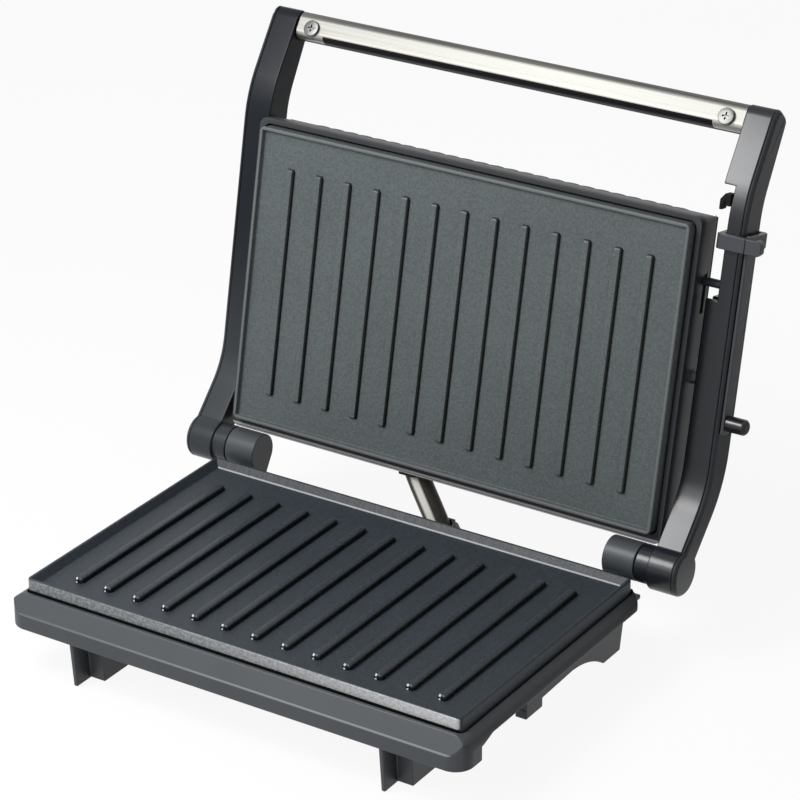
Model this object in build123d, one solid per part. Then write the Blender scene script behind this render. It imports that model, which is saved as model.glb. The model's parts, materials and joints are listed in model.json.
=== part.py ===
from build123d import *
import os
from math import cos, radians, sin, tan

# Driving dimensions in mm: X right, Y back from the upper plate's front edge, Z up from the table
# Plates
plate_half = 114.3
plate_depth = 143.0
lower_front = -1.4
lower_rear = 143.8
plate_corner = 2.5
plate_wall = 3.0
seat_gap = 0.8
plate_height = 8.5
plate_top = 44.0
plate_gap = 0.44
ridge_count = 13
ridge_pitch = 16.0
ridge_width = 4.4
lower_ridge_rise = 2.4
upper_ridge_rise = 1.6
ridge_taper = 14
ridge_length = 109.5
lower_ridge_start = 13.0
upper_ridge_start = 15.6
lower_border_width = 4.2
lower_border_rise = 3.5
lower_border_slope = 38
upper_border_width = 2.1
upper_border_rise = 2.3
upper_border_slope = 14
web_underside = 6.1
boss_reach = 13.6
boss_size = 9.0
screw_radius = 2.0
screw_half_span = 72.0

# Heating
heater_half = 99.0
heater_front = 19.0
heater_rear = 125.0
heater_width = 6.0
heater_corner = 14.0
heater_ends = 56.0
reflector_half = 104.0
reflector_front = 10.0
reflector_rear = 133.0
reflector_height = 5.0
sheet = 0.8
thermostat_x = 24.0
fuse_x = -39.0
terminal_place = (-62.0, 132.0)

# Hinge
hinge_y = 156.4
hinge_z = 45.7
hinge_radius = 9.0
arm_end_radius = 10.5
knuckle_inner = 95.9
knuckle_outer = 111.8
knuckle_gap = 0.4
open_angle = 101.6
pin_radius = 3.0
running_gap = 0.05
fixed_gap = 0.02

# Base housing
base_half = 120.3
base_front = -9.3
base_rear = 144.8
base_corner = 9.0
shoulder = 8.0
crease_z = 29.8
front_lip_y = -4.0
rim_low = 31.4
rim_top = 37.9
deck_thickness = 2.0
skirt_z = 22.4
skirt_rear = 6.5
tub_half = 104.0
tub_front = 24.0
tub_rear = 155.9
tub_z = 17.0
wall = 2.4
foot_x = 82.0
foot_lean = 0.09
slot_pitch = 16.0
slot_count = 11

# Arms
arm_inner = 119.3
arm_outer = 134.2
arm_split = 132.0
notch_inner = 125.0
notch_top_y = -17.4
notch_low_y = 34.0
arm_low = 59.04
arm_high = 74.54

# Lid
lid_half = 117.8
lid_taper = 10.5
lid_corner = 4.0
lid_front = -3.4
lid_rear = 148.0
lid_rim_low = 49.3
lid_rim_high = 53.3
lid_top = 70.3
pivot_y = 71.6
pivot_z = 63.34
rib_count = 25
rib_pitch = 8.0
rib_rise = 1.5
cover_thickness = 1.0

# Handle
handle_y = -43.4
handle_z = 80.84
handle_lean = 23.6
handle_width = 13.0
handle_depth = 11.6
handle_corner = 4.0
shell_thickness = 1.2
shell_lip = 2.2
shell_end = 103.8
screw_x = 110.3
screw_hole = 2.1
tenon_start = 103.0
tenon_width = 7.0
tenon_depth = 6.0

# Conduit and inlet
conduit_diameter = 10.0
conduit_sides = 12
conduit_steps = 9
conduit_bend = 14.0
conduit_hole = 5.6
conduit_boss_top = 24.0
conduit_lid_x = -19.0
conduit_lid_z = 58.74
conduit_base = (-4.5, 171.5)
inlet_x = 60.0
inlet_z = 22.3
inlet_size = 9.0
inlet_bore = 3.2

# Lid lock and lamps
latch_travel = 12.0
latch_y = 27.6
collar_front = 3.1
collar_rear = 10.1
strip_width = 7.0
strip_outer = 1.9
slide_gap = 0.35
knob_y = 88.6
knob_radius = 3.7
knob_reach = 12.0
tongue_radius = 2.0
tab_reach = 144.2
lamp_x = 107.5
lamp_places = (22, 38)
lamp_size = 7.0

mid_y = plate_depth / 2
deck_z = plate_top - boss_reach - sheet - deck_thickness
lid_plate_top = plate_top + plate_gap
lid_deck_z = lid_plate_top + boss_reach + sheet
lid_inset = (lid_top - lid_rim_high) * tan(radians(lid_taper))
lid_top_half = lid_half - lid_inset
lid_back_front = lid_front + lid_inset
lid_back_rear = lid_rear - lid_inset
screw_places = [(-screw_half_span, mid_y), (screw_half_span, mid_y)]
beyond = 200.0


# Rounded rectangle between two Y values on a level plane
def outline(half_width, y0, y1, radius, z):
    return Pos(0, (y0 + y1) / 2, z) * RectangleRounded(2 * half_width, y1 - y0, radius)


# Plain rectangle between two Y values on a level plane
def block(half_width, y0, y1, z):
    return Pos(0, (y0 + y1) / 2, z) * Rectangle(2 * half_width, y1 - y0)


# Side profile in Y and Z, drawn out along X
def side(face, x0, x1):
    return extrude(Plane.YZ.offset(x0) * face, amount=x1 - x0)


# Round bar along X
def bar(radius, x0, x1, y, z):
    return side(Pos(y, z) * Circle(radius), x0, x1)


# Round bar along Z
def post(radius, x, y, z0, z1):
    return extrude(Pos(x, y, z0) * Circle(radius), amount=z1 - z0)


# The upper plate and its fittings are drawn as lower ones and turned over
def turned_over(part):
    return Pos(0, plate_depth, lid_plate_top + plate_top) * Rot(180, 0, 0) * part


# Cast cooking plate: raised border, lower ridges, hollow underside with screw bosses
def grill_plate(y0, y1, ridge_start, ridge_rise, border):
    border_width, border_rise, border_slope = border
    z0 = plate_top - plate_height
    valley = plate_top - border_rise
    web = plate_top - web_underside
    body = extrude(outline(plate_half, y0, y1, plate_corner, z0), amount=plate_height)
    body = chamfer(body.faces().sort_by(Axis.Z)[-1].edges(), 0.4)
    pan = block(plate_half - border_width, y0 + border_width, y1 - border_width, valley)
    body -= extrude(pan, amount=border_rise, taper=-border_slope)
    hollow = block(plate_half - plate_wall, y0 + plate_wall, y1 - plate_wall, z0)
    body -= extrude(hollow, amount=web - z0)
    ridge = extrude(Rectangle(ridge_width, ridge_length), amount=ridge_rise, taper=ridge_taper)
    ridge = chamfer(ridge.faces().sort_by(Axis.Z)[-1].edges(), 0.5)
    first = -ridge_pitch * (ridge_count - 1) / 2
    middle = ridge_start + ridge_length / 2
    body += [Pos(first + i * ridge_pitch, middle, valley) * ridge for i in range(ridge_count)]
    for x, y in screw_places:
        boss = Box(boss_size, boss_size, boss_reach - web_underside)
        body += Pos(x, y, (plate_top - boss_reach + web) / 2) * boss
        body -= post(screw_radius, x, y, plate_top - boss_reach, web - 0.5)
    return body


def lower_plate():
    border = (lower_border_width, lower_border_rise, lower_border_slope)
    return grill_plate(lower_front, lower_rear, lower_ridge_start, lower_ridge_rise, border)


# The upper plate is shallower than the lower one
def upper_plate():
    border = (upper_border_width, upper_border_rise, upper_border_slope)
    return grill_plate(0, plate_depth, upper_ridge_start, upper_ridge_rise, border)


# Room that a housing leaves round its plate
def plate_seat(y0, y1, z):
    return outline(plate_half + seat_gap, y0 - seat_gap, y1 + seat_gap, plate_corner + seat_gap, z)


# Flat heating element under the plate web, both ends towards the back
def heater():
    z = plate_top - web_underside - fixed_gap
    outer = block(heater_half, heater_front, heater_rear, z)
    outer = chamfer(outer.vertices(), heater_corner)
    ends = Pos(0, heater_rear - heater_width / 2, z) * Rectangle(heater_ends, heater_width + 2)
    inner = offset(outer, -heater_width, kind=Kind.INTERSECTION)
    return extrude(outer - inner - ends, amount=-heater_width)


# Shallow sheet tray that throws the heat back at the plate
def reflector():
    z1 = plate_top - boss_reach
    half, y0, y1 = reflector_half, reflector_front, reflector_rear
    tray = extrude(block(half, y0, y1, z1 - sheet), amount=reflector_height)
    tray -= extrude(block(half - sheet, y0 + sheet, y1 - sheet, z1), amount=reflector_height)
    return tray - deck_holes(z1)


# Square openings for the thermostat and the plate screws, the same in reflector and deck
def deck_holes(z):
    thermostat_hole = Pos(thermostat_x, mid_y, z) * Box(19, 19, 6)
    return [thermostat_hole] + [Pos(x, y, z) * Box(4.8, 4.8, 6) for x, y in screw_places]


# Hexagon screws that pull the plate onto its deck
def plate_screws():
    z = plate_top - boss_reach - sheet - deck_thickness
    head = extrude(RegularPolygon(2 * screw_radius, 6), amount=-2.4)
    shank = extrude(RegularPolygon(screw_radius - fixed_gap, 6), amount=9)
    return Compound([Pos(x, y, z) * (head + shank) for x, y in screw_places])


# Base housing: rim, facet and skirt in front, deck, inset tub walls, feet and hinge barrels
def base_housing():
    rim = outline(base_half, base_front, base_rear, base_corner, rim_low)
    skirt = outline(base_half, base_front, base_rear, base_corner, skirt_z)
    body = extrude(rim, amount=rim_top - rim_low)
    body += extrude(skirt - offset(skirt, -wall), amount=rim_low - skirt_z)
    behind = make_face(Polyline((skirt_rear, 0), (skirt_rear, 29), (15.3, rim_low), (beyond, rim_low),
                                (beyond, 0), close=True))
    body -= side(behind, -beyond, beyond)
    above = make_face(Polyline((base_front, crease_z), (front_lip_y, rim_top), (front_lip_y, beyond),
                               (base_front, beyond), close=True))
    body -= side(above, -beyond, beyond)
    rounded = Pos(0, -30) * RectangleRounded(2 * base_half, 60, shoulder)
    edges = Rectangle(2 * beyond, 2 * shoulder) - rounded
    body -= extrude(Plane.XZ * Pos(0, rim_top) * edges, amount=beyond, both=True)
    body -= extrude(plate_seat(lower_front, lower_rear, rim_low + 2), amount=rim_top)
    body -= extrude(block(110, 8, 140, rim_low), amount=rim_top)
    body += extrude(block(112, 4, tub_rear, deck_z), amount=deck_thickness)
    tub = extrude(block(tub_half, tub_front, tub_rear, tub_z), amount=deck_z - tub_z)
    tub -= extrude(block(tub_half - wall, tub_front + wall, tub_rear - wall, tub_z), amount=deck_z - tub_z)
    body += tub
    arch_front, arch_rear, heel_y = (110, 9.9), (137.8, 0), 152.5
    leg = make_face([Polyline(arch_front, (69.6, 8.6), (69.6, deck_z), (tub_rear, deck_z), (tub_rear, tub_z),
                              (heel_y, 0), arch_rear), ThreePointArc(arch_rear, (126, 6.5), arch_front)])
    heel = make_face(Polyline((heel_y - wall, 0), (heel_y, 0), (tub_rear, tub_z), (tub_rear - wall, tub_z),
                              close=True))
    bracket = make_face(Polyline((148.4, 42), (148.4, deck_z), (tub_rear, deck_z), (163.5, 40.2),
                                 close=True))
    for s in (-1, 1):
        body += side(leg, s * (tub_half - wall), s * tub_half)
        body += side(heel, s * (tub_half - 16), s * tub_half)
        body += Pos(s * (tub_half - 2.9), 76.5, 6.9) * Box(5.8, 13.9, 4.4)
        body += side(bracket, s * knuckle_inner, s * tub_half)
        body += bar(hinge_radius, s * knuckle_inner, s * knuckle_outer, hinge_y, hinge_z)
        body -= bar(pin_radius + fixed_gap, s * (knuckle_inner + 1.6), s * beyond, hinge_y, hinge_z)
        foot = trace(Polyline((-3, -11.2), (-3, 0), (4.6, 0), (4.6, 17)), line_width=2)
        foot = extrude(foot, amount=deck_z + 0.6, dir=(0, -foot_lean, 1))
        body += Pos(s * foot_x, base_front + 14.2, 0) * foot
    cx, cy = conduit_base
    boss = Pos(cx, (tub_rear + cy) / 2 + 3.5, conduit_boss_top - 6) * Box(18, cy - tub_rear + 11, 12)
    body += chamfer(boss.edges().filter_by(Axis.Z).group_by(Axis.Y)[-1], 5)
    hole = Pos(cx, cy, conduit_boss_top) * RegularPolygon(conduit_hole, conduit_sides)
    body -= extrude(hole, amount=-10)
    body -= Pos(cx, (tub_rear + cy) / 2 - 2, 18) * Box(6, cy - tub_rear + 4, 6)
    body -= Pos(inlet_x, tub_rear, inlet_z) * Box(inlet_size, 8, inlet_size)
    body -= deck_holes(deck_z)
    body -= Pos(-20, 128, deck_z) * Box(50, 12, 6)
    return body


# Sheet cover that closes the tub from below, with cooling slots
def bottom_cover():
    inset = wall + 0.3
    cover = extrude(block(tub_half - inset, tub_front + inset, tub_rear - inset, tub_z), amount=1.2)
    first = -slot_pitch * (slot_count - 1) / 2
    slot = Pos(first, mid_y + 4, tub_z) * Box(4, 40, 4)
    return cover - [Pos(i * slot_pitch) * slot for i in range(slot_count)]


# Bimetal thermostat pressed against the plate through the deck
def thermostat():
    top = plate_top - web_underside - fixed_gap
    body = extrude(Pos(thermostat_x, mid_y, top) * RegularPolygon(8, 12), amount=-11)
    body += Pos(thermostat_x, mid_y, top - 12.5) * Box(22, 12, 3)
    body += [Pos(thermostat_x + s * 8, mid_y, top - 15.5) * Box(0.8, 5, 5) for s in (-1, 1)]
    return body


# Thermal cut-out in its clip under the plate
def thermal_fuse():
    radius, half = 2.6, 9
    section = Pos(mid_y, plate_top - web_underside - radius - fixed_gap) * RegularPolygon(radius, 8)
    return side(section, fuse_x - half, fuse_x + half)


# Ceramic terminal block on the bottom cover
def terminal_block():
    body = Pos(0, 0, 1.2 + 4) * Box(34, 13, 8)
    for i in (-1, 0, 1):
        body -= Pos(i * 10, 0, 6) * Box(4, 20, 4)
        body -= Pos(i * 10, 0, 8) * Box(4, 4, 8)
    return Pos(*terminal_place, tub_z) * body


# Flanged rubber bushing in the back wall where the mains lead goes in
def inlet_bushing():
    back = Plane.XZ.offset(-tub_rear) * Pos(inlet_x, inlet_z)
    body = extrude(back * Rectangle(inlet_size - 0.1, inlet_size - 0.1), amount=wall)
    body += extrude(back * Rectangle(inlet_size + 4, inlet_size + 4), amount=-2)
    return body - extrude(back * Circle(inlet_bore), amount=wall, both=True)


# Hexagon nut with the conduit's twelve-sided hole
def gland_ring():
    return RegularPolygon(8, 6) - RegularPolygon(conduit_hole, conduit_sides)


# Rubber nut on the rear boss that holds the lower end of the conduit
def base_gland():
    cx, cy = conduit_base
    nut = Pos(cx, cy, conduit_boss_top) * gland_ring()
    return extrude(nut, amount=2.5)


# Side outline of an arm in the closed position
def arm_outline():
    bends = [(120.9, arm_low), (-11.4, arm_low), (-8.4, arm_high), (120.1, arm_high)]
    tip_low, tip_high = (-51.9, 78.84), (-46.4, 87.6)
    corners = [(155.2, 37.34), bends[0], bends[1], (-47.4, 74.84), tip_low, tip_high,
               bends[2], bends[3], (154.6, 51.84)]
    face = make_face(Polyline(*corners, close=True))
    for (y, z), radius in zip(bends + [tip_low, tip_high], (40, 60, 45, 55, 3, 5)):
        face = fillet(face.vertices().sort_by_distance((y, z, 0))[0], radius)
    return face + Pos(hinge_y, hinge_z) * Circle(arm_end_radius)


# Plane across the handle: local X along its width, local Y out of its steel face
def handle_plane(x):
    lean = radians(handle_lean)
    return Plane(origin=(x, handle_y, handle_z), x_dir=(0, -cos(lean), sin(lean)), z_dir=(1, 0, 0))


# Arm half nearer the lid, with hinge boss, pivot seat and the tenon that carries the handle
def arm(s):
    body = side(arm_outline(), s * arm_inner, s * arm_split)
    if s > 0:
        middle = Pos((notch_top_y + notch_low_y) / 2, (arm_low + arm_high) / 2)
        body -= side(middle * Rectangle(notch_low_y - notch_top_y, 60), arm_inner, notch_inner)
    knuckle = knuckle_outer + knuckle_gap
    bore_end = arm_split - 1.5
    body += bar(hinge_radius, s * knuckle, s * arm_split, hinge_y, hinge_z)
    body -= bar(pin_radius + running_gap, s * knuckle, s * bore_end, hinge_y, hinge_z)
    body -= bar(pin_radius + fixed_gap, s * arm_inner, s * bore_end, pivot_y, pivot_z)
    body += extrude(handle_plane(s * tenon_start) * Rectangle(tenon_width, tenon_depth), amount=s * 20)
    if s > 0:
        body -= tongue_slot()
    return body


# Slot through the right arm in which the latch tongue travels
def tongue_slot():
    slot = SlotOverall(latch_travel + 2 * tongue_radius + 1, 2 * tongue_radius + 0.7)
    return side(Pos(latch_y + latch_travel / 2, pivot_z) * slot, arm_inner, arm_outer + 1)


# Outer half of an arm
def arm_cover(s):
    body = side(arm_outline(), s * arm_split, s * arm_outer)
    body = chamfer(body.faces().sort_by(Axis.X)[-1 if s > 0 else 0].edges(), 1.2)
    if s > 0:
        body -= tongue_slot()
    return body


# Housing frame of the lid: rim, tapered walls, deck for the plate, pivot bosses and the latch slot
def lid_housing():
    rim = outline(lid_half, lid_front, lid_rear, lid_corner, lid_rim_low)
    body = extrude(rim, amount=lid_rim_high - lid_rim_low)
    walls = outline(lid_half, lid_front, lid_rear, lid_corner, lid_rim_high)
    body += extrude(walls, amount=lid_top - lid_rim_high, taper=lid_taper)
    body -= extrude(plate_seat(0, plate_depth, lid_rim_low), amount=lid_deck_z - lid_rim_low)
    upper = lid_deck_z + deck_thickness
    room = block(lid_top_half - wall, lid_back_front + wall, lid_back_rear - wall, upper)
    body -= extrude(room, amount=lid_top)
    for s in (-1, 1):
        body += Pos(s * 109.75, pivot_y, pivot_z) * Box(9.5, 11, 11)
        body -= bar(pin_radius + running_gap, s * 104, s * arm_inner, pivot_y, pivot_z)
    body -= side(Pos(latch_y + latch_travel / 2, pivot_z) * Rectangle(latch_travel + 6, 5), 108, arm_inner)
    body -= Pos(conduit_lid_x, lid_rear, conduit_lid_z) * Box(11, 12, 11)
    body -= Pos(conduit_lid_x, lid_rear - 14, lid_deck_z) * Box(20, 20, 8)
    return body - deck_holes(lid_deck_z)


# Corrugated back cover of the lid, with a lip that locates it inside the walls
def lid_cover():
    z = lid_top + cover_thickness
    first = -rib_pitch * (rib_count - 1) / 2
    half = rib_pitch / 2
    ribs = [ThreePointArc((x - half, z), (x, z + rib_rise), (x + half, z))
            for x in (first + i * rib_pitch for i in range(rib_count))]
    end = first - half
    rest = Polyline((-end, z), (lid_top_half, z), (lid_top_half, lid_top),
                    (-lid_top_half, lid_top), (-lid_top_half, z), (end, z))
    y0, y1 = lid_back_front, lid_back_rear
    cover = extrude(Plane.XZ.offset(-y1) * make_face(ribs + [rest]), amount=y1 - y0)
    lip = block(lid_top_half - wall - 0.3, y0 + wall + 0.3, y1 - wall - 0.3, lid_top - 3)
    lip_room = block(lid_top_half - 2 * wall, y0 + 2 * wall, y1 - 2 * wall, lid_top - 3)
    cover += extrude(lip, amount=3) - extrude(lip_room, amount=3)
    for s in (-1, 1):
        cover -= Pos(s * 109, pivot_y, pivot_z) * Box(12, 12, 16)
    hole = lamp_size + 2 * fixed_gap
    cover -= [Pos(lamp_x, y, lid_top) * Box(hole, hole, 10) for y in lamp_places]
    return cover


# Clear lenses of the power and ready lamps
def lamp_lenses():
    lens = Pos(0, 0, lid_top + cover_thickness - 1) * Box(lamp_size, lamp_size, 4)
    lens = chamfer(lens.faces().sort_by(Axis.Z)[-1].edges(), 0.8)
    return Compound([Pos(lamp_x, y) * lens for y in lamp_places])


# Rubber nut on the lid's rear wall
def lid_gland():
    back = Plane.XZ.offset(-lid_rear) * Pos(conduit_lid_x, conduit_lid_z)
    return extrude(back * gland_ring(), amount=-2)


# Hinge pins, fixed in the base barrels
def hinge_pin(s):
    return bar(pin_radius, s * (knuckle_inner + 1.7), s * (arm_split - 2), hinge_y, hinge_z)


# Pins that hang the lid between the arms
def pivot_pins():
    return Compound([bar(pin_radius, s * 105.5, s * (arm_split - 1.7), pivot_y, pivot_z) for s in (-1, 1)])


# Outer section of the handle
def handle_section():
    return RectangleRounded(handle_width, handle_depth, handle_corner)


# Crowned band of that section taken up by the steel shell, with a lip of the core left bare below it
def shell_section(lip):
    low = lip - handle_width / 2
    band = Rectangle(handle_width - low, handle_depth / 2)
    band = Pos((low + handle_width) / 2, handle_depth / 4 + 0.5) * band
    return (handle_section() - offset(handle_section(), -shell_thickness)) & band


# Steel shell out to a reach: narrow between the screws, full width round them
def shell_bands(reach):
    shell = extrude(handle_plane(-reach) * shell_section(shell_lip), amount=2 * reach)
    for s in (-1, 1):
        shell += extrude(handle_plane(s * shell_end) * shell_section(-1), amount=s * (reach - shell_end))
    return shell


# Plane square to the steel face at a screw, at a height above the handle's middle
def screw_plane(s, height):
    plane = handle_plane(s * screw_x)
    return Plane(origin=plane.from_local_coords((0, height, 0)), z_dir=plane.y_dir)


# Black core of the handle, socketed over the arm tenons
def handle_core():
    reach = arm_inner - 0.1
    core = extrude(handle_plane(-reach) * handle_section(), amount=2 * reach) - shell_bands(reach)
    socket = Rectangle(tenon_width + 0.1, tenon_depth + 0.1)
    for s in (-1, 1):
        core -= extrude(handle_plane(s * (tenon_start - 0.2)) * socket, amount=s * 20)
        core -= extrude(screw_plane(s, 0) * Circle(screw_hole), amount=handle_depth)
    return core


# Stainless shell over the front half of the handle
def handle_shell():
    shell = shell_bands(arm_inner - 0.6)
    for s in (-1, 1):
        shell -= extrude(screw_plane(s, 0) * Circle(screw_hole), amount=handle_depth)
    return shell


# Screws through the shell into the arm tenons
def handle_screws():
    top = handle_depth / 2
    depth = top - tenon_depth / 2 - 0.1
    head = extrude(Circle(3.5), amount=1.3)
    shank = extrude(RegularPolygon(screw_hole - 0.1, 6), amount=-depth)
    return Compound([screw_plane(s, top) * (head + shank) for s in (-1, 1)])


# Small claw on the right arm, open towards the collar
def keeper_hook():
    root_x = notch_inner - fixed_gap
    claw = make_face(Polyline((119.7, -6.4), (119.7, -11), (122, -14), (root_x, -14), (root_x, -8.4),
                              (123.4, -8.4), (122.6, -10.8), (121.2, -6.4), close=True))
    return extrude(Pos(0, 0, arm_low + 0.3) * claw, amount=4.4)


# Lid lock: collar round the right arm with a thumb tab, strip along the arm and the tongue into the lid
def latch_slide():
    width, depth = arm_outer - notch_inner, arm_high - arm_low
    length = collar_rear - collar_front
    middle = Pos((notch_inner + arm_outer) / 2, (arm_low + arm_high) / 2)
    hole = Rectangle(width + 2 * slide_gap, depth + 2 * slide_gap)
    ring = middle * (Pos(0, -0.6) * RectangleRounded(width + 6.1, depth + 6, 2) - hole)
    body = extrude(Plane.XZ.offset(-collar_rear) * ring, amount=length)
    strip = Pos(knob_y / 2 + 4, pivot_z) * Rectangle(knob_y + 2, strip_width)
    body += side(strip, arm_outer + slide_gap, arm_outer + strip_outer)
    tab = Box(tab_reach - arm_outer - 2, length, 4)
    tab = chamfer(tab.edges().filter_by(Axis.Z).group_by(Axis.X)[-1], 1.5)
    body += Pos((arm_outer + tab_reach) / 2 + 1, (collar_front + collar_rear) / 2, arm_low - 1.6) * tab
    return body + bar(tongue_radius, 114.2, arm_outer + 1, latch_y, pivot_z)


# Knob at the end of the strip
def latch_knob():
    knob = bar(knob_radius, arm_outer + strip_outer, arm_outer + knob_reach, knob_y, pivot_z)
    return chamfer(knob.faces().sort_by(Axis.X)[-1].edges(), 1.2)


# Steel conduit that carries the upper plate's wires past the hinge, drawn for the open lid
def conduit():
    cx, cy = conduit_base
    lid_in = opened(Vertex(conduit_lid_x, lid_rear - 8, conduit_lid_z)).center()
    lid_out = opened(Vertex(conduit_lid_x, lid_rear + 9, conduit_lid_z)).center()
    route = FilletPolyline(lid_in, lid_out, (cx, cy, 31.5), (cx, cy, 15), radius=conduit_bend)
    print("conduit length", round(route.length, 1))
    points = [route.position_at(i / conduit_steps) for i in range(conduit_steps + 1)]
    start = Plane(origin=points[0], x_dir=(1, 0, 0), z_dir=points[1] - points[0])
    section = start * RegularPolygon(conduit_diameter / 2, conduit_sides)
    return sweep(section, path=Polyline(*points), transition=Transition.RIGHT)


# Lid and arms are drawn closed and swung open about the hinge
def opened(part):
    hinge = Axis((0, hinge_y, hinge_z), (1, 0, 0))
    return part.rotate(hinge, -open_angle)


base = {
    "base_housing": base_housing(),
    "lower_plate": lower_plate(),
    "lower_heater": heater(),
    "lower_reflector": reflector(),
    "lower_plate_screws": plate_screws(),
    "bottom_cover": bottom_cover(),
    "thermostat": thermostat(),
    "thermal_fuse": thermal_fuse(),
    "terminal_block": terminal_block(),
    "inlet_bushing": inlet_bushing(),
    "base_gland": base_gland(),
    "left_hinge_pin": hinge_pin(-1),
    "right_hinge_pin": hinge_pin(1),
    "conduit": conduit(),
}
swinging = {
    "left_arm": arm(-1),
    "right_arm": arm(1),
    "left_arm_cover": arm_cover(-1),
    "right_arm_cover": arm_cover(1),
    "handle_core": handle_core(),
    "handle_shell": handle_shell(),
    "handle_screws": handle_screws(),
    "pivot_pins": pivot_pins(),
    "keeper_hook": keeper_hook(),
    "lid_housing": lid_housing(),
    "lid_cover": lid_cover(),
    "lamp_lenses": lamp_lenses(),
    "lid_gland": lid_gland(),
    "upper_plate": turned_over(upper_plate()),
    "upper_heater": turned_over(heater()),
    "upper_reflector": turned_over(reflector()),
    "upper_plate_screws": turned_over(plate_screws()),
    "latch_slide": latch_slide(),
    "latch_knob": latch_knob(),
}
nodes = base | {name: opened(part) for name, part in swinging.items()}

# The shared frame starts under the middle of the open press
box = Compound(list(nodes.values())).bounding_box()
shift = Pos(-box.center().X, -box.center().Y, -box.min.Z)
print("size", [round(v, 1) for v in box.size], "shift", [round(v, 2) for v in shift.position])
for name, point in (("hinge", Vertex(0, hinge_y, hinge_z)), ("pivot", opened(Vertex(0, pivot_y, pivot_z)))):
    print(name, [round(v, 3) for v in (shift * point).center()])
print("latch axis", [round(v, 4) for v in Vector(0, 1, 0).rotate(Axis.X, -open_angle)])

os.makedirs("parts", exist_ok=True)
for name, solid in nodes.items():
    export_step(shift * solid, f"parts/{name}.step")
    print(name, round(solid.volume), solid.is_valid)
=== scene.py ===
import bpy
import json
import math
from mathutils import Matrix, Vector

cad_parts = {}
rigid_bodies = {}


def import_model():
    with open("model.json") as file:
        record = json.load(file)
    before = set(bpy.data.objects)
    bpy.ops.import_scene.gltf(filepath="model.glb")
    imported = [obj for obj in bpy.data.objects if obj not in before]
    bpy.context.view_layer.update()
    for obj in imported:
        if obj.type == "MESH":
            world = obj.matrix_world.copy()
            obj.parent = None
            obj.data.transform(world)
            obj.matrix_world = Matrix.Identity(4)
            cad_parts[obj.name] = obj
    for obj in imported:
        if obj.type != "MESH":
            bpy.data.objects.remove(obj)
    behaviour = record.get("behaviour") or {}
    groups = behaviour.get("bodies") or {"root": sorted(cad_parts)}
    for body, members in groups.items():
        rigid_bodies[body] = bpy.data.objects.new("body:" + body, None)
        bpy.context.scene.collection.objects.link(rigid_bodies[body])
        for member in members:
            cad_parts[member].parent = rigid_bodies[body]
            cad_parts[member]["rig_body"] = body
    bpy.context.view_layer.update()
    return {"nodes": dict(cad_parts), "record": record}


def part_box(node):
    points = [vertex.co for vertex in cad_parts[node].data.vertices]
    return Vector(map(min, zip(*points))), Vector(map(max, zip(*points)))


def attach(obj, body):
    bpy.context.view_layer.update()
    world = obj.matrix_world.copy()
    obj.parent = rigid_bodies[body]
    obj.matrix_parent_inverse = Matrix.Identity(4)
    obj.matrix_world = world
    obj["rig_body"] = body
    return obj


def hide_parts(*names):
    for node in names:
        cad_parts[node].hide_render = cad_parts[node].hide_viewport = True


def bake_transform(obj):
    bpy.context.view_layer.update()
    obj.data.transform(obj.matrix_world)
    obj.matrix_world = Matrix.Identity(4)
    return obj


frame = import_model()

print("frame loaded with", len(frame["nodes"]), "nodes")

# the ways of the frame
right = Vector((1, 0, 0))
front = Vector((0, -1, 0))
rear = Vector((0, 1, 0))
up = Vector((0, 0, 1))


class Wire:
    # a socket that sums can be written with
    def __init__(self, finish, socket):
        self.finish = finish
        self.socket = socket

    def out(self, name):
        return Wire(self.finish, self.socket.node.outputs[name])

    def step(self, operation, first, second):
        return self.finish.node("ShaderNodeMath", {"operation": operation}, {0: first, 1: second})

    def __add__(self, other):
        return self.step("ADD", self, other)

    def __radd__(self, other):
        return self.step("ADD", other, self)

    def __sub__(self, other):
        return self.step("SUBTRACT", self, other)

    def __rsub__(self, other):
        return self.step("SUBTRACT", other, self)

    def __mul__(self, other):
        return self.step("MULTIPLY", self, other)

    def __rmul__(self, other):
        return self.step("MULTIPLY", other, self)

    def __mod__(self, other):
        return self.step("FLOORED_MODULO", self, other)

    def __rmod__(self, other):
        return self.step("FLOORED_MODULO", other, self)

    def __lt__(self, other):
        return self.step("LESS_THAN", self, other)

    def __gt__(self, other):
        return self.step("GREATER_THAN", self, other)


class Finish:
    # node tree of one material or world
    def __init__(self, owner):
        owner.use_nodes = True
        self.owner = owner
        self.tree = owner.node_tree

    def node(self, kind, settings=None, inputs=None):
        made = self.tree.nodes.new(kind)
        for key, value in (settings or {}).items():
            setattr(made, key, value)
        for key, value in (inputs or {}).items():
            self.join(made.inputs[key], value)
        return Wire(self, made.outputs[0])

    def join(self, socket, value):
        if isinstance(value, Wire):
            self.tree.links.new(value.socket, socket)
        else:
            socket.default_value = value


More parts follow.
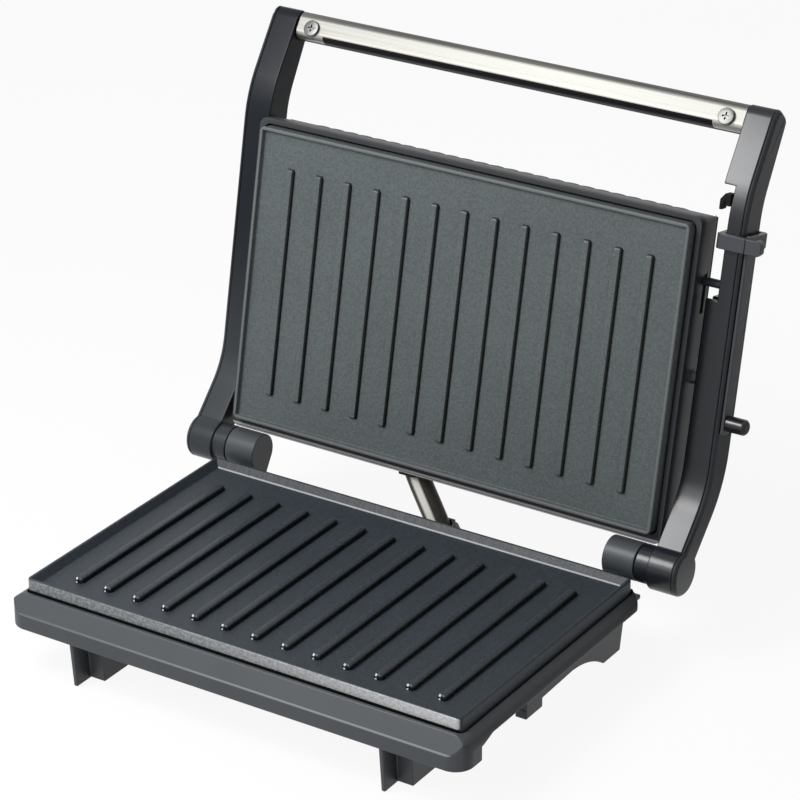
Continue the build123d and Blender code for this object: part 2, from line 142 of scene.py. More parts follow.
class Surface(Finish):
    # a procedural surface on Object coordinates; fixed is what stays the same all over it
    def __init__(self, name, fixed):
        super().__init__(bpy.data.materials.new(name))
        self.shader = self.tree.nodes["Principled BSDF"]
        for socket, value in fixed.items():
            self.shader.inputs[socket].default_value = value
        coordinates = self.node("ShaderNodeTexCoord")
        self.place = coordinates.out("Object")
        self.face = coordinates.out("Normal")

    def paint(self, **wires):
        for name, wire in wires.items():
            self.join(self.shader.inputs[name.replace("_", " ")], wire)

    def noise(self, scale, detail, stretch=(1, 1, 1)):
        spread = self.node("ShaderNodeMapping", inputs={"Vector": self.place, "Scale": stretch})
        return self.node("ShaderNodeTexNoise", inputs={"Vector": spread, "Scale": scale, "Detail": detail})

    def blendColour(self, share, first, second):
        mix = self.node("ShaderNodeMix", {"data_type": "RGBA"}, {"Factor": share})
        sockets = [socket for socket in mix.socket.node.inputs if socket.type == "RGBA"]
        for socket, colour in zip(sockets, (first, second)):
            self.join(socket, colour if isinstance(colour, Wire) else (*colour, 1))
        return mix.out(2)

    def ease(self, value, low, high):
        span = {"Value": value, "From Min": low, "From Max": high}
        return self.node("ShaderNodeMapRange", {"interpolation_type": "SMOOTHSTEP"}, span)

    def between(self, value, low, high):
        return (value > low) * (value < high)

    def bump(self, height, strength, distance):
        relief = {"Height": height, "Strength": strength, "Distance": distance}
        self.paint(Normal=self.node("ShaderNodeBump", inputs=relief))

    def dot(self, first, second):
        product = self.node("ShaderNodeVectorMath", {"operation": "DOT_PRODUCT"}, {0: first, 1: second})
        return product.out("Value")

    def along(self, way):    # how far a point lies that way
        return self.dot(self.place, way)

    def facing(self, way):    # how squarely the surface faces that way
        return self.dot(self.face, way)


# moulded plastics, with the rubber, ceramic and lens pieces that are made up the same way
plastics = {
    "baseSatin": {"dark": (0.043, 0.048, 0.054), "light": (0.058, 0.064, 0.071),
                  "rough": 0.40, "gloss": 0.30},
    "armSatin": {"dark": (0.008, 0.010, 0.013), "light": (0.014, 0.016, 0.020),
                 "rough": 0.24, "gloss": 0.35},
    # the left arm's copy of the arm plastic, painted darker as painted shade, with painted light paler
    # towards its foot
    "leftArmShadedCopy": {"dark": (0.004, 0.006, 0.009), "light": (0.008, 0.010, 0.014),
                "rough": 0.26, "gloss": 0.18, "foot": (0.032, 0.036, 0.041), "fade": (0.07, 0.15)},
    "coverBlack": {"dark": (0.010, 0.010, 0.011), "light": (0.016, 0.016, 0.017),
                   "rough": 0.36, "gloss": 0.15},
    "coreBlack": {"dark": (0.005, 0.005, 0.006), "light": (0.009, 0.009, 0.010),
                  "rough": 0.50, "gloss": 0.10},
    "lockSatin": {"dark": (0.036, 0.039, 0.046), "light": (0.050, 0.054, 0.062),
                  "rough": 0.36, "gloss": 0.30},
    "polishedBlack": {"dark": (0.006, 0.006, 0.008), "light": (0.011, 0.011, 0.013),
                      "rough": 0.16, "gloss": 0.40},
    "nutRubber": {"dark": (0.012, 0.012, 0.012), "light": (0.030, 0.030, 0.030),
                  "rough": 0.60, "gloss": 0.30},
    "bareCeramic": {"dark": (0.62, 0.59, 0.52), "light": (0.78, 0.75, 0.68),
                    "rough": 0.55, "gloss": 0.40},
    "lampLens": {"dark": (0.40, 0.03, 0.015), "light": (0.60, 0.07, 0.03),
                 "rough": 0.14, "gloss": 0.50},
}
# what the mould leaves on them: drifts of tone and a fine spark-erosion grain
# here and below a noise is (scale, detail, stretch) and a bump is (strength, depth)
mouldMarks = {"cloud": (45, 4), "roughDrop": 0.06, "cloudRough": 0.08,
              "grained": True, "grain": (2400, 3), "grainRough": 0.04, "grainBump": (0.05, 0.0002)}


def mouldedSurface(name, look):
    look = mouldMarks | look
    s = Surface(name, {"Specular IOR Level": look["gloss"]})
    cloud = s.noise(*look["cloud"])
    rough = look["rough"] - look["roughDrop"] + look["cloudRough"] * cloud
    if look["grained"]:
        grain = s.noise(*look["grain"])
        rough = rough + look["grainRough"] * grain
        s.bump(grain, *look["grainBump"])
    s.paint(Roughness=rough)
    s.cloud = cloud
    s.colour = s.blendColour(cloud, look["dark"], look["light"])
    return s


def plasticFinish(name):
    look = plastics[name]
    s = mouldedSurface(name, look)
    colour = s.colour
    # painted light: paler towards the foot
    if "foot" in look:
        colour = s.blendColour(s.ease(s.along(up), *look["fade"]), look["foot"], colour)
    s.paint(Base_Color=colour)
    return s.owner


def shadedWalls(s, look):    # the plastic's colour, with painted shade making it darker on the two side walls
    side = s.facing(right)
    return s.blendColour(s.ease(side * side, *look["wallTurn"]), s.colour, look["walls"])


# base plastic, with painted shade darker on the side walls, and a painted highlight line, brighter towards
# the right, where its front facet turns into the skirt
baseLine = {"height": 0.0298, "half": 0.0006, "paleHighlight": (0.20, 0.205, 0.21), "front": (0.5, 0.7),
            "slope": (0.1, 0.2), "leftShare": 0.35, "brighten": (-0.14, 0.06),
            "walls": (0.026, 0.029, 0.034), "wallTurn": (0.5, 0.8)}


def baseFinish():
    s = mouldedSurface("baseLined", plastics["baseSatin"])
    height, half = baseLine["height"], baseLine["half"]
    # painted highlight: a pale line along the crease, brighter towards the right
    line = s.between(s.along(up), height - half, height + half)
    line = line * s.ease(s.facing(front), *baseLine["front"]) * s.ease(s.facing(up), *baseLine["slope"])
    bright = s.ease(s.along(right), *baseLine["brighten"])
    line = line * (baseLine["leftShare"] + (1 - baseLine["leftShare"]) * bright)
    s.paint(Base_Color=s.blendColour(line, shadedWalls(s, baseLine), baseLine["paleHighlight"]))
    return s.owner


# rounded grill ridges that dress the plain ones of the cast plates, in metres
ridgeRow = {"count": 13, "pitch": 0.016, "width": 0.0048, "length": 0.1105, "cornerRound": 0.0012,
            "draft": 0.86, "endDraft": 0.994, "roundSteps": 5, "smooth": 50, "plateDepth": 0.143}
ridges = {
    "lower": {"rise": 0.00252, "topRound": 0.0011, "outward": (0, 0, 1), "depth": 0.0035,
              "middle": 0.06915, "shade": (0.6, 0.9), "tipHighlights": True},
    "upper": {"rise": 0.00172, "topRound": 0.0009, "outward": (0, -0.9796, 0.2011), "depth": 0.0023,
              "middle": 0.07035, "shade": (0.10, 0.32), "tipHighlights": False},
}


def plateFace(kind):    # the way a plate faces, the way up it, and the middle of its front edge
    low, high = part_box(kind + "_plate")
    outward = Vector(ridges[kind]["outward"])
    upward = outward.cross(right)
    edge = Vector(((low.x + high.x) / 2, low.y, high.z - ridgeRow["plateDepth"] * upward.z))
    return outward, upward, edge


lidOut, lidUp, lidEdge = plateFace("upper")    # the open lid stands as its plate does

# lid plastic, with painted shade darker on the side walls, and two painted highlight lines along the lower
# edge of its front
lidPlastic = {"dark": (0.034, 0.037, 0.040), "light": (0.048, 0.051, 0.054), "rough": 0.45, "gloss": 0.12,
              "cloudRough": 0.10, "grained": False, "walls": (0.014, 0.016, 0.020), "wallTurn": (0.3, 0.6),
              "paleHighlight": (0.40, 0.40, 0.41), "highlightLines": (0.0003, 0.0016), "half": 0.0005, "front": (0.4, 0.6),
              "leastHighlight": 0.6, "frontDepth": 0.0005}


def lidFoot():    # height of the lower edge of the lid's front, up the lid
    corners = [vertex.co for vertex in frame["nodes"]["lid_housing"].data.vertices]
    reach = max(lidOut.dot(cornerShade) for cornerShade in corners) - lidPlastic["frontDepth"]
    return min(lidUp.dot(cornerShade) for cornerShade in corners if lidOut.dot(cornerShade) > reach)


def lidFinish():
    s = mouldedSurface("lidEdged", lidPlastic)
    height, half = s.along(lidUp) - lidFoot(), lidPlastic["half"]
    # two painted highlight lines along the lower edge of the front, mottled by the cloud
    edgeHighlight = sum(s.between(height, line - half, line + half) for line in lidPlastic["highlightLines"])
    edgeHighlight = edgeHighlight * s.ease(s.facing(front), *lidPlastic["front"])
    edgeHighlight = edgeHighlight * (lidPlastic["leastHighlight"] + (1 - lidPlastic["leastHighlight"]) * s.cloud)
    s.paint(Base_Color=s.blendColour(edgeHighlight, shadedWalls(s, lidPlastic), lidPlastic["paleHighlight"]))
    return s.owner


# non-stick coating of the plates; the upper plate's tone is painted lighter than the lower's, as painted
# light on the same coating
coating = {"lower": (0.029, 0.036, 0.044), "upper": (0.080, 0.093, 0.095), "contrast": (0.72, 1.28),
           "gloss": 0.22, "cloud": (30, 4), "specks": (900, 3), "speckEdge": (0.3, 0.7), "speckShare": 0.55,
           "rough": 0.34, "cloudRough": 0.10, "speckRough": 0.08, "speckBump": (0.16, 0.0004)}
# bare speckled metal along the front of the lower plate, with a painted reflection brightening it towards
# the right end, and painted shade of the gap below it
frontBand = {"depth": 0.0012, "foot": 0.0387, "dark": (0.13, 0.14, 0.145), "light": (0.62, 0.63, 0.63),
             "gapShade": (0.008, 0.008, 0.010), "turn": (0.6, 0.9), "fleck": (700, 4), "fleckEdge": (0.3, 0.7),
             "fleckShare": 0.3, "brighten": (-0.15, 0.15), "rough": 0.48, "metal": 0.5}
# rear lip of the lower plate, painted paler in streaks on its front-facing slope as painted light, with a
# painted highlight line along its foot
rearLip = {"depth": 0.006, "tone": (0.056, 0.060, 0.063), "turn": (0.3, 0.5),
           "streak": (700, 2, (1, 0.05, 0.05)), "streakEdge": (0.35, 0.65), "leastShare": 0.35,
           "footRise": 0.0006, "footHighlight": (0.34, 0.35, 0.36)}
# painted highlight on the rim round the upper plate, by its height against the plate's edge
upperRimHighlight = {"tone": (0.112, 0.121, 0.123), "from": -0.0004, "to": -0.0002}
# painted shade darkens the ridges down in their corners, and the lower ones have painted highlight spots on
# their front ends
ridgeShade = {"cornerShade": 0.12, "from": 0.30, "to": 0.95, "rough": 0.26, "cloudRough": 0.0,
              "speckRough": 0.10}
ridgeTip = {"tone": (0.62, 0.64, 0.67), "aside": (-0.0013, -0.0004), "turn": (0.25, 0.45),
            "levels": (0.28, 0.60, 0.94)}    # below the first, and between the others


def coatedSurface(name, tone, look):
    s = Surface(name, {"Specular IOR Level": look["gloss"]})
    cloud = s.noise(*look["cloud"])
    specks = s.ease(s.noise(*look["specks"]), *look["speckEdge"])
    dark, light = (tuple(share * value for value in tone) for share in look["contrast"])
    s.colour = s.blendColour(cloud * (1 - look["speckShare"]) + specks * look["speckShare"], dark, light)
    s.rough = look["rough"] + look["cloudRough"] * cloud + look["speckRough"] * specks
    s.bump(specks, *look["speckBump"])
    return s


def lowerFinish():
    s = coatedSurface("lowerCoating", coating["lower"], coating)
    low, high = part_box("lower_plate")
    facing, depth, height = s.facing(front), s.along(rear), s.along(up)
    # painted light: the front-facing rear lip is painted paler, in streaks
    lip = (depth > high.y - rearLip["depth"]) * s.ease(facing, *rearLip["turn"])
    streak = s.ease(s.noise(*rearLip["streak"]), *rearLip["streakEdge"])
    streak = rearLip["leastShare"] + (1 - rearLip["leastShare"]) * streak
    colour = s.blendColour(lip * streak, s.colour, rearLip["tone"])
    # painted highlight line along the lip's foot
    lipFoot = high.z - ridges["lower"]["depth"] + rearLip["footRise"]
    colour = s.blendColour(lip * (height < lipFoot), colour, rearLip["footHighlight"])
    band = (depth < low.y + frontBand["depth"]) * s.ease(facing, *frontBand["turn"])
    fleck = s.ease(s.noise(*frontBand["fleck"]), *frontBand["fleckEdge"])
    # painted reflection: the band brightens towards the right end
    paintedSheen = s.ease(s.along(right), *frontBand["brighten"])
    bright = fleck * frontBand["fleckShare"] + paintedSheen * paintedSheen * (1 - frontBand["fleckShare"])
    bare = s.blendColour(bright, frontBand["dark"], frontBand["light"])
    # painted shade of the gap below the band
    bare = s.blendColour(height < frontBand["foot"], bare, frontBand["gapShade"])
    s.paint(Base_Color=s.blendColour(band, colour, bare), Metallic=band * frontBand["metal"],
            Roughness=s.rough * (1 - band) + frontBand["rough"] * band)
    return s.owner


def upperFinish():
    s = coatedSurface("upperCoating", coating["upper"], coating)
    level = lidOut.dot(lidEdge)
    # painted highlight along the rim
    rim = s.ease(s.along(lidOut), level + upperRimHighlight["from"], level + upperRimHighlight["to"])
    s.paint(Base_Color=s.blendColour(rim, s.colour, upperRimHighlight["tone"]), Roughness=s.rough)
    return s.owner


def ridgeFinish(kind, outward, centre):
    look, tone = ridges[kind], coating[kind]
    s = coatedSurface(kind + "Ridge", tone, coating | ridgeShade)
    rise, foot = look["rise"], outward.dot(centre)
    height = s.along(outward)
    # painted shade down in the ridge's corners
    clear = s.ease(height, foot + rise * ridgeShade["from"], foot + rise * ridgeShade["to"])
    clear = clear * (1 - s.ease(s.facing(right), *look["shade"]))    # dark also away from the light
    colour = s.blendColour(clear, tuple(ridgeShade["cornerShade"] * value for value in tone), s.colour)
    # painted highlight spots on the front ends of the lower ridges
    if look["tipHighlights"]:
        half = ridgeRow["pitch"] / 2
        aside = (s.along(right) - centre.x + half) % ridgeRow["pitch"] - half
        level = height - foot
        low, *high = (rise * share for share in ridgeTip["levels"])
        tipHighlight = (level < low) + s.between(level, *high)
        tipHighlight = tipHighlight * s.between(aside, *ridgeTip["aside"]) * s.ease(s.facing(front), *ridgeTip["turn"])
        colour = s.blendColour(tipHighlight, colour, ridgeTip["tone"])
    s.paint(Base_Color=colour, Roughness=s.rough)
    return s.owner


# brushed stainless of the handle, streaked along its length, with a painted reflection brighter below and a
# darker painted reflection along the top
stainless = {"dark": (0.165, 0.164, 0.154), "light": (0.250, 0.247, 0.230), "rough": 0.44,
             "upper": (0.09, 0.09, 0.086), "upperTurn": (0.64, 0.76), "upperStreak": 0.5,
             "lower": (0.42, 0.41, 0.38), "lowerTurn": (0.50, 0.30),
             "streak": (900, 4, (0.012, 1, 1)), "streakEdge": (0.3, 0.7), "streakRough": 0.10,
             "streakBump": (0.08, 0.0001)}


def stainlessFinish():
    s = Surface("brushedStainless", {"Metallic": 1.0})
    streak = s.ease(s.noise(*stainless["streak"]), *stainless["streakEdge"])
    facing = s.facing(up)
    colour = s.blendColour(streak, stainless["dark"], stainless["light"])
    # painted reflections: brighter below, darker along the top
    colour = s.blendColour(s.ease(facing, *stainless["lowerTurn"]), colour, stainless["lower"])
    paintedTopDark = s.ease(facing, *stainless["upperTurn"]) * (1 - stainless["upperStreak"] * streak)
    s.paint(Base_Color=s.blendColour(paintedTopDark, colour, stainless["upper"]),
            Roughness=stainless["rough"] + stainless["streakRough"] * streak)
    s.bump(streak, *stainless["streakBump"])
    return s.owner


# plated sheet and screws
metals = {"platedSteel": {"dark": (0.34, 0.34, 0.35), "light": (0.52, 0.52, 0.53), "cloud": (160, 4)},
          "screwSteel": {"dark": (0.075, 0.075, 0.075), "light": (0.13, 0.13, 0.127), "cloud": (700, 4)}}
metalMarks = {"rough": 0.30, "cloudRough": 0.14, "cloudBump": (0.08, 0.0002)}


def metalFinish(name):
    look = metals[name]
    s = Surface(name, {"Metallic": 1.0})
    cloud = s.noise(*look["cloud"])
    s.paint(Base_Color=s.blendColour(cloud, look["dark"], look["light"]),
            Roughness=metalMarks["rough"] + metalMarks["cloudRough"] * cloud)
    s.bump(cloud, *metalMarks["cloudBump"])
    return s.owner


# woven sleeve of the conduit, with a painted highlight stripe down its front
sleeve = {"dark": (0.030, 0.027, 0.022), "light": (0.085, 0.078, 0.068), "bright": (0.90, 0.87, 0.82),
          "across": (0.839, 0.544, 0), "from": (-0.72, -0.48), "to": (-0.16, 0.06), "gloss": 0.12,
          "weave": (1500, 3, (1, 1, 0.3)), "rough": 0.3, "weaveRough": 0.2, "weaveBump": (0.08, 0.0002)}


def sleeveFinish():
    s = Surface("conduitSleeve", {"Specular IOR Level": sleeve["gloss"]})
    weave = s.noise(*sleeve["weave"])
    side = s.facing(sleeve["across"])
    # painted highlight stripe down the sleeve's front
    paintedSheen = s.ease(side, *sleeve["from"]) * (1 - s.ease(side, *sleeve["to"]))
    colour = s.blendColour(weave, sleeve["dark"], sleeve["light"])
    s.paint(Base_Color=s.blendColour(paintedSheen, colour, sleeve["bright"]),
            Roughness=sleeve["rough"] + sleeve["weaveRough"] * weave)
    s.bump(weave, *sleeve["weaveBump"])
    return s.owner


finishes = {name: plasticFinish(name) for name in plastics} | {name: metalFinish(name) for name in metals}
finishes |= {"baseLined": baseFinish(), "lidEdged": lidFinish(), "lowerCoating": lowerFinish(),
             "upperCoating": upperFinish(), "stainless": stainlessFinish(), "conduitSleeve": sleeveFinish()}

# finish of each material slot, and of the nodes that differ from their slot
slotFinish = {"body_plastic": "baseSatin", "gloss_black": "polishedBlack", "plate_coating": "upperCoating",
              "stainless": "stainless", "plated_steel": "platedSteel", "conduit_steel": "conduitSleeve",
              "ceramic": "bareCeramic", "rubber": "nutRubber", "lamp": "lampLens"}
nodeFinish = {"lower_plate": "lowerCoating", "latch_slide": "lockSatin", "handle_core": "coreBlack",
              "keeper_hook": "coreBlack", "lid_housing": "lidEdged", "lid_cover": "coverBlack",
              "base_housing": "baseLined", "right_arm": "armSatin", "right_arm_cover": "armSatin",
              "left_arm": "leftArmShadedCopy", "left_arm_cover": "leftArmShadedCopy"}
slotOf = {part["node"]: part["material_slot"] for part in frame["record"]["subparts"]}


def dress(piece, finish):
    piece.data.materials.clear()
    piece.data.materials.append(finish)


for name, node in frame["nodes"].items():
    dress(node, finishes[nodeFinish.get(name, slotFinish[slotOf[name]])])
print("finishes set on", len(frame["nodes"]), "nodes")


def deselect():
    bpy.ops.object.select_all(action="DESELECT")


def selectOnly(piece):
    deselect()
    piece.select_set(True)
    bpy.context.view_layer.objects.active = piece


def selectTop(piece, squarely=0.9):
    for face in piece.data.polygons:
        face.select = face.normal.z > squarely


def smoothBy(degrees):
    bpy.ops.object.shade_smooth_by_angle(angle=math.radians(degrees))


def copyTo(model, place):    # a copy with its own mesh
    piece = model.copy()
    piece.data = model.data.copy()
    bpy.context.scene.collection.objects.link(piece)
    piece.matrix_world = place
    return piece


def settle():    # moves the selected piece's place into its mesh
    bpy.ops.object.transform_apply(location=True, rotation=True, scale=True)


def applyModifier(kind, **settings):
    bpy.ops.object.modifier_add(type=kind)
    modifier = bpy.context.object.modifiers[-1]
    for key, value in settings.items():
        setattr(modifier, key, value)
    bpy.ops.object.modifier_apply(modifier=modifier.name)


# rounding of the moulded and cast edges, in metres, and the angles that sort them, in degrees
softEdges = {"base_housing": 0.0005, "left_arm": 0.0006, "right_arm": 0.0006, "left_arm_cover": 0.0005,
             "right_arm_cover": 0.0005, "lid_housing": 0.0005, "lid_cover": 0.0003, "handle_core": 0.0004,
             "lower_plate": 0.0004, "upper_plate": 0.0003, "latch_slide": 0.0005, "latch_knob": 0.0006,
             "keeper_hook": 0.0004, "lamp_lenses": 0.0004, "base_gland": 0.0004,
             "lid_gland": 0.0004, "inlet_bushing": 0.0005}
softening = {"merge": 0.00001, "flat": 0.5, "sharp": 28, "smooth": 40, "steps": 3}


def soften(name, width):
    node = frame["nodes"][name]
    piece = bpy.data.objects.new(name + "Soft", node.data.copy())
    bpy.context.scene.collection.objects.link(piece)
    selectOnly(piece)
    bpy.ops.mesh.customdata_custom_splitnormals_clear()
    bpy.ops.object.mode_set(mode="EDIT")
    bpy.ops.mesh.select_all(action="SELECT")
    bpy.ops.mesh.remove_doubles(threshold=softening["merge"])
    bpy.ops.mesh.dissolve_limited(angle_limit=math.radians(softening["flat"]))
    bpy.ops.mesh.vert_connect_concave()
    bpy.ops.mesh.select_all(action="DESELECT")
    bpy.ops.mesh.select_mode(type="EDGE")
    bpy.ops.mesh.edges_select_sharp(sharpness=math.radians(softening["sharp"]))
    bpy.ops.mesh.bevel(offset=width, segments=softening["steps"], affect="EDGES", clamp_overlap=False)
    bpy.ops.object.mode_set(mode="OBJECT")
    smoothBy(softening["smooth"])
    applyModifier("WEIGHTED_NORMAL", keep_sharp=True)
    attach(piece, node["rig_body"])
    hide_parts(name)


for name, width in softEdges.items():
    soften(name, width)
print("edges rounded on", len(softEdges), "pieces")


def makeRidge(look):
    deselect()
    bpy.ops.mesh.primitive_cube_add(size=1, location=(0, 0, 0))
    ridge = bpy.context.object
    bpy.ops.object.mode_set(mode="EDIT")
    bpy.ops.mesh.select_all(action="SELECT")
    bpy.ops.transform.translate(value=(0, 0, 0.5))    # the unit cube's foot to the origin
    size = (ridgeRow["width"], ridgeRow["length"], look["rise"])
    bpy.ops.transform.resize(value=size, center_override=(0, 0, 0))
    bpy.ops.mesh.select_mode(type="EDGE")
    bpy.ops.mesh.select_all(action="DESELECT")
    bpy.ops.object.mode_set(mode="OBJECT")
    for edge in ridge.data.edges:
        first, second = (ridge.data.vertices[index].co for index in edge.vertices)
        edge.select = abs(first.z - second.z) > look["rise"] / 2
    bpy.ops.object.mode_set(mode="EDIT")
    bpy.ops.mesh.bevel(offset=ridgeRow["cornerRound"], segments=ridgeRow["roundSteps"], affect="EDGES")
    bpy.ops.mesh.select_mode(type="FACE")
    bpy.ops.mesh.select_all(action="DESELECT")
    bpy.ops.object.mode_set(mode="OBJECT")
    selectTop(ridge)
    bpy.ops.object.mode_set(mode="EDIT")
    draft = (ridgeRow["draft"], ridgeRow["endDraft"], 1)
    bpy.ops.transform.resize(value=draft, center_override=(0, 0, look["rise"]))
    bpy.ops.mesh.region_to_loop()
    bpy.ops.mesh.bevel(offset=look["topRound"], segments=ridgeRow["roundSteps"], affect="EDGES")
    bpy.ops.object.mode_set(mode="OBJECT")
    smoothBy(ridgeRow["smooth"])
    return ridge


def makeRidges(kind):
    look = ridges[kind]
    plate = kind + "_plate"
    outward, upward, edge = plateFace(kind)
    centre = edge + upward * look["middle"] - outward * look["depth"]
    turn = Matrix((right, upward, outward)).transposed().to_4x4()
    model = makeRidge(look)
    row = []
    for step in range(ridgeRow["count"]):
        shift = (step - (ridgeRow["count"] - 1) / 2) * ridgeRow["pitch"]
        row.append(copyTo(model, Matrix.Translation(centre + right * shift) @ turn))
    bpy.data.objects.remove(model)
    deselect()
    for ridge in row:
        ridge.select_set(True)
    bpy.context.view_layer.objects.active = row[0]
    bpy.ops.object.join()
    settle()
    piece = bpy.context.object
    piece.name = kind + "Ridges"
    dress(piece, ridgeFinish(kind, outward, centre))
    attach(piece, frame["nodes"][plate]["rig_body"])


for kind in ridges:
    makeRidges(kind)
print("ridges rounded")

# flexible sleeve between base and lid, nearly straight between its nuts
conduitLook = {"radius": 0.0056, "sink": 0.004, "bend": 0.004, "roundSteps": 8, "lengthSteps": 40,
               "smooth": 40}


def makeConduit():
    low = sum(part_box("base_gland"), Vector()) / 2
    high = sum(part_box("lid_gland"), Vector()) / 2
    deselect()
    bpy.ops.curve.primitive_bezier_curve_add(location=(0, 0, 0))
    curve = bpy.context.object
    curve.data.bevel_depth = conduitLook["radius"]
    curve.data.bevel_resolution = conduitLook["roundSteps"]
    curve.data.resolution_u = conduitLook["lengthSteps"]
    curve.data.use_fill_caps = True
    # from inside the lid's nut down into the base's
    ends = ((high + lidUp * conduitLook["sink"], -lidUp), (low - up * conduitLook["sink"], -up))
    for point, (place, way) in zip(curve.data.splines[0].bezier_points, ends):
        point.handle_left_type = point.handle_right_type = "FREE"
        point.co = place
        point.handle_left = place - way * conduitLook["bend"]
        point.handle_right = place + way * conduitLook["bend"]
    bpy.ops.object.convert(target="MESH")
    piece = bpy.context.object
    piece.name = "conduitSleeve"
    smoothBy(conduitLook["smooth"])
    dress(piece, finishes["conduitSleeve"])
    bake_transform(piece)
    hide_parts("conduit")
    print("conduit drawn")


makeConduit()

# domed cross-head screws through the handle's shell, each in a dark ring of painted shade
screwHead = {"radius": 0.0031, "rise": 0.0013, "crown": 0.0008, "crownSteps": (0.45, 0.33, 0.22),
             "stepWidth": 0.24, "edgeRound": 0.0003, "edgeSteps": 3, "edgeAngle": 40,
             "crossLength": 0.0036, "crossWidth": 0.0008, "crossDepth": 0.0010, "drop": 0.0017,
             "cadRadius": 0.0035, "cadRise": 0.0013, "outward": (0, -0.8172, 0.5764), "sides": 40,
             "smooth": 35}
screwShadowRing = {"radius": 0.0039, "rise": 0.0005, "rim": 0.12, "bevel": 0.05, "sink": 0.6}


def disc(radius, rise):    # left in edit mode with its top face selected
    deselect()
    bpy.ops.mesh.primitive_cylinder_add(vertices=screwHead["sides"], radius=radius, depth=rise,
                                        location=(0, 0, rise / 2))
    piece = bpy.context.object
    selectTop(piece)
    bpy.ops.object.mode_set(mode="EDIT")
    bpy.ops.mesh.select_mode(type="FACE")
    return piece


def makeScrewHead():
    head = disc(screwHead["radius"], screwHead["rise"])
    for share in screwHead["crownSteps"]:
        step = screwHead["radius"] * screwHead["stepWidth"]
        bpy.ops.mesh.inset(thickness=step, depth=screwHead["crown"] * share)
    bpy.ops.object.mode_set(mode="OBJECT")
    applyModifier("BEVEL", width=screwHead["edgeRound"], segments=screwHead["edgeSteps"],
                  limit_method="ANGLE", angle_limit=math.radians(screwHead["edgeAngle"]))
    long, thin, deep = (screwHead[key] for key in ("crossLength", "crossWidth", "crossDepth"))
    for size in ((long, thin), (thin, long)):
        deselect()
        bpy.ops.mesh.primitive_cube_add(size=1, location=(0, 0, screwHead["rise"] + screwHead["crown"]))
        cutter = bpy.context.object
        cutter.scale = (*size, deep * 2)
        settle()
        selectOnly(head)
        applyModifier("BOOLEAN", object=cutter, operation="DIFFERENCE", solver="EXACT")
        bpy.data.objects.remove(cutter)
    selectOnly(head)
    smoothBy(screwHead["smooth"])
    return head


# a dark ring under each head, put there as painted shade of the gap round it
def makeScrewShadowRing():
    ring = disc(screwShadowRing["radius"], screwShadowRing["rise"])
    bpy.ops.mesh.inset(thickness=screwShadowRing["radius"] * screwShadowRing["rim"], depth=0)
    bpy.ops.mesh.inset(thickness=screwShadowRing["radius"] * screwShadowRing["bevel"],
                       depth=-screwShadowRing["rise"] * screwShadowRing["sink"])
    bpy.ops.object.mode_set(mode="OBJECT")
    smoothBy(screwHead["smooth"])
    return ring


def makeScrews():
    low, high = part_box("handle_screws")
    outward = Vector(screwHead["outward"])
    upward = outward.cross(right)
    turn = outward.to_track_quat("Z", "Y").to_matrix().to_4x4()
    reach = screwHead["cadRadius"]
    seat = Vector((0, low.y + reach * upward.y, high.z - reach * upward.z))
    seat -= outward * screwHead["cadRise"] + upward * screwHead["drop"]
    models = ((makeScrewHead(), "handleScrew", "screwSteel", slotOf["handle_screws"]),
              (makeScrewShadowRing(), "screwShadowRing", "polishedBlack", "gloss_black"))
    for model, name, finish, slot in models:
        for side, x in (("Left", low.x + reach), ("Right", high.x - reach)):
            piece = copyTo(model, Matrix.Translation((x, seat.y, seat.z)) @ turn)
            piece.name = name + side
            selectOnly(piece)
            settle()
            dress(piece, finishes[finish])
            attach(piece, "lid")
            if name + side == "handleScrewLeft":
                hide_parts("handle_screws")
        bpy.data.objects.remove(model)
    print("handle screws made")


makeScrews()

# pale floor, and a room that is white to the camera and in reflections
studio = {"floorSize": 8, "floorDrop": 0.0003, "floorTones": (0.87, 0.89), "floorCloud": (3, 2),
          "floorRough": 0.9, "floorGlow": 0.91, "roomShade": 0.32}


def greys(*tones):
    return [(tone,) * 3 for tone in tones]


def whiteShare(finish):
    path = finish.node("ShaderNodeLightPath")
    share = path.out("Is Camera Ray") + path.out("Is Glossy Ray") + path.out("Is Transmission Ray")
    return finish.node("ShaderNodeClamp", inputs={"Value": share})


def makeFloor():
    deselect()
    bpy.ops.mesh.primitive_plane_add(size=studio["floorSize"], location=(0, 0, -studio["floorDrop"]))
    floor = bpy.context.object
    floor.name = "paleFloor"
    s = Surface("paleFloor", {"Roughness": studio["floorRough"], "Specular IOR Level": 0.0})
    s.paint(Base_Color=s.blendColour(s.noise(*studio["floorCloud"]), *greys(*studio["floorTones"])))
    white = s.node("ShaderNodeEmission", inputs={"Strength": 1.0})
    share = whiteShare(s) * studio["floorGlow"]
    mix = s.node("ShaderNodeMixShader", inputs={0: share, 1: Wire(s, s.shader.outputs[0]), 2: white})
    s.join(s.tree.nodes["Material Output"].inputs["Surface"], mix)
    floor.data.materials.append(s.owner)


def makeRoom():
    world = bpy.data.worlds.new("paleRoom")
    bpy.context.scene.world = world
    w = Finish(world)
    shade = studio["roomShade"]
    plain = w.node("ShaderNodeBackground", inputs={"Color": (shade, shade, shade, 1)})
    white = w.node("ShaderNodeBackground", inputs={"Color": (1, 1, 1, 1)})
    mix = w.node("ShaderNodeMixShader", inputs={0: whiteShare(w), 1: plain, 2: white})
    w.join(w.tree.nodes["World Output"].inputs["Surface"], mix)


makeFloor()
makeRoom()

# grey card leaning on the right, seen in reflections only: foot and top (x, z), run along the press
greyCard = {"foot": (0.165, 0.003), "top": (0.50, 0.50), "front": -0.25, "rear": 0.70,
            "tones": (0.60, 0.78), "cloud": (5, 2)}


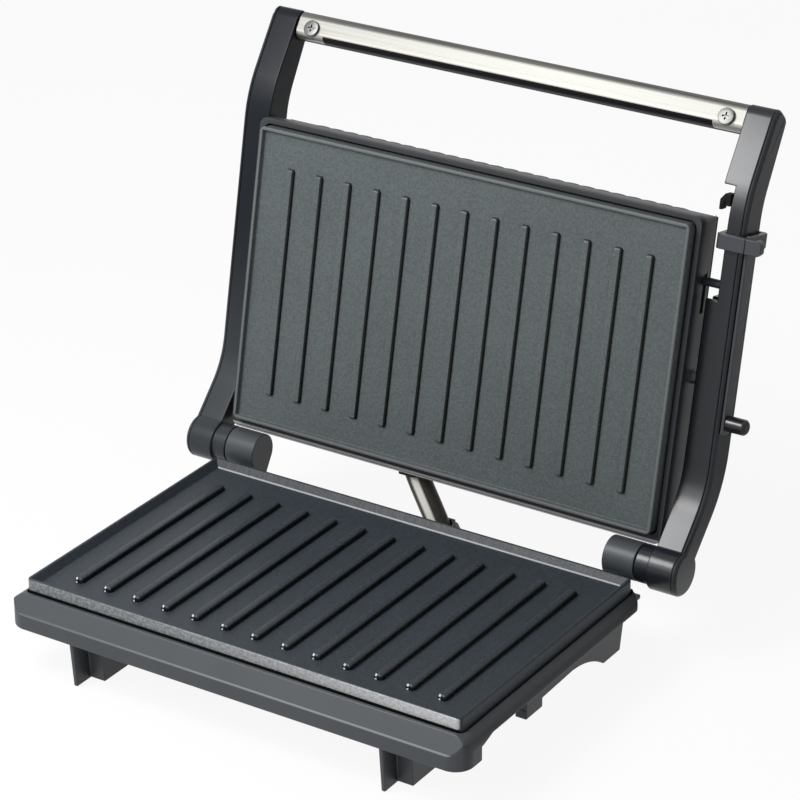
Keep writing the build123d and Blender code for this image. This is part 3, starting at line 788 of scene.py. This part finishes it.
def makeCard():
    (footX, footZ), (topX, topZ) = greyCard["foot"], greyCard["top"]
    run = greyCard["rear"] - greyCard["front"]
    middle = ((footX + topX) / 2, greyCard["front"] + run / 2, (footZ + topZ) / 2)
    lean = math.atan2(topZ - footZ, topX - footX)
    deselect()
    bpy.ops.mesh.primitive_plane_add(size=1, location=middle, rotation=(0, -lean, 0))
    card = bpy.context.object
    card.name = "greyCard"
    card.scale = (math.hypot(topX - footX, topZ - footZ), run, 1)
    s = Surface("greyCard", {"Roughness": 1.0, "Specular IOR Level": 0.0})
    s.paint(Base_Color=s.blendColour(s.noise(*greyCard["cloud"]), *greys(*greyCard["tones"])))
    card.data.materials.append(s.owner)
    card.visible_camera = card.visible_diffuse = card.visible_shadow = False


makeCard()

# soft boxes: place, what they point at, width and height, and power
softBoxes = {
    "keyBox": {"place": (-0.27, -0.38, 0.68), "aim": (0.12, 0.06, 0.15), "size": (0.32, 0.30), "power": 4.6},
    "fillBox": {"place": (-0.45, -1.25, 1.10), "aim": (0, 0, 0.1), "size": (1.2, 0.9), "power": 9.5},
}


def makeLights():
    for name, box in softBoxes.items():
        data = bpy.data.lights.new(name, "AREA")
        data.shape = "RECTANGLE"
        data.size, data.size_y = box["size"]
        data.energy = box["power"]
        lamp = bpy.data.objects.new(name, data)
        bpy.context.scene.collection.objects.link(lamp)
        place = Vector(box["place"])
        turn = (place - Vector(box["aim"])).to_track_quat("Z", "Y").to_matrix().to_4x4()
        lamp.matrix_world = Matrix.Translation(place) @ turn


makeLights()

# camera at the photograph's place, in metres and degrees, with lens and sensor in millimetres
cameraView = {"place": (0.73832, -1.13112, 0.75831), "turn": 32.987, "tilt": 64.578, "roll": -0.275,
              "lens": 150.98, "sensor": 36, "nearest": 0.01}


def makeCamera():
    data = bpy.data.cameras.new("photoCamera")
    data.lens = cameraView["lens"]
    data.sensor_width = cameraView["sensor"]
    data.clip_start = cameraView["nearest"]
    camera = bpy.data.objects.new("photoCamera", data)
    bpy.context.scene.collection.objects.link(camera)
    turn, tilt, roll = (math.radians(cameraView[key]) for key in ("turn", "tilt", "roll"))
    camera.matrix_world = (Matrix.Translation(cameraView["place"]) @ Matrix.Rotation(turn, 4, "Z")
                           @ Matrix.Rotation(tilt, 4, "X") @ Matrix.Rotation(roll, 4, "Z"))
    bpy.context.scene.camera = camera
    bpy.context.scene.view_settings.view_transform = "Standard"


makeCamera()
print("studio and camera ready")
